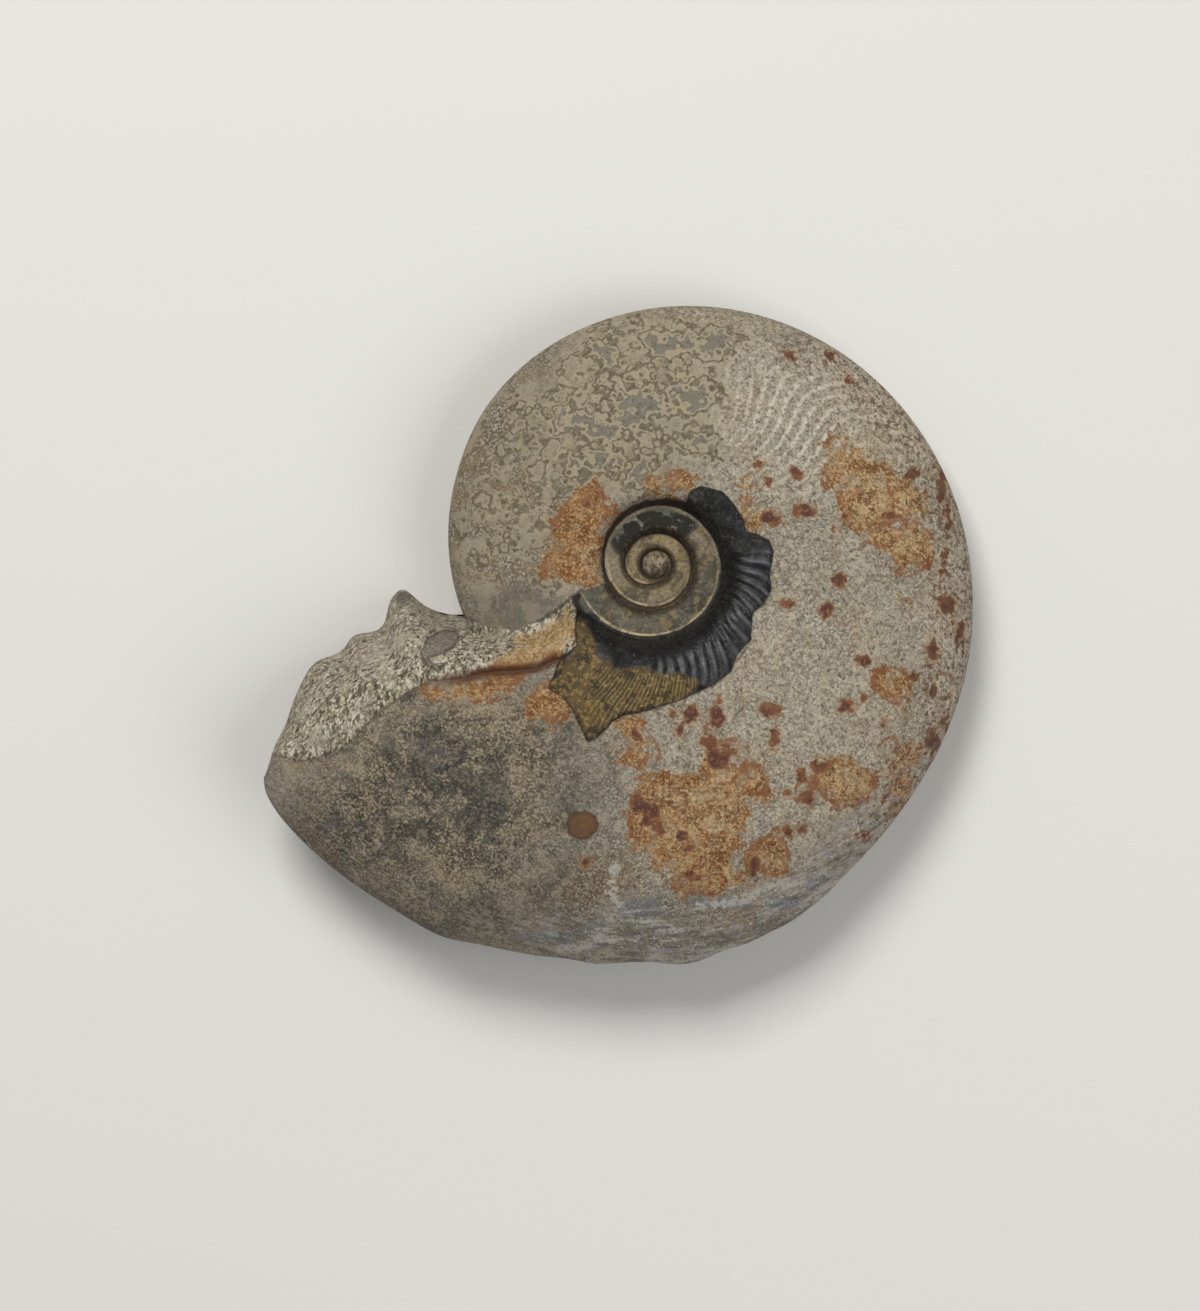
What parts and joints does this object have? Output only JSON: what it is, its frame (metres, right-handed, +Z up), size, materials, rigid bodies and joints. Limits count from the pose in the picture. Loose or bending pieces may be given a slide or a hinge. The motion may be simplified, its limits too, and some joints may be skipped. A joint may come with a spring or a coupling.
{
  "type": "leioceras ammonite",
  "caption": "Coiled, disc-shaped fossil ammonite lying on its flank: a limestone cast with a sharp keel, a narrow umbilicus, a broken mouth and a patch of black shell.",
  "frame": {"origin": "on the ground, under the middle of the stone's outline as seen from above", "axes": "+Z up, +X along the longest side of the outline, away from the broken mouth, +Y towards the far side of the coil"},
  "size_m": [0.0802, 0.0742, 0.0196],
  "materials": {
    "limestone": "matte, with faint gloss on the shell"
  },
  "bodies": {
    "root": {"ammonite": "limestone"}
  },
  "joints": []
}
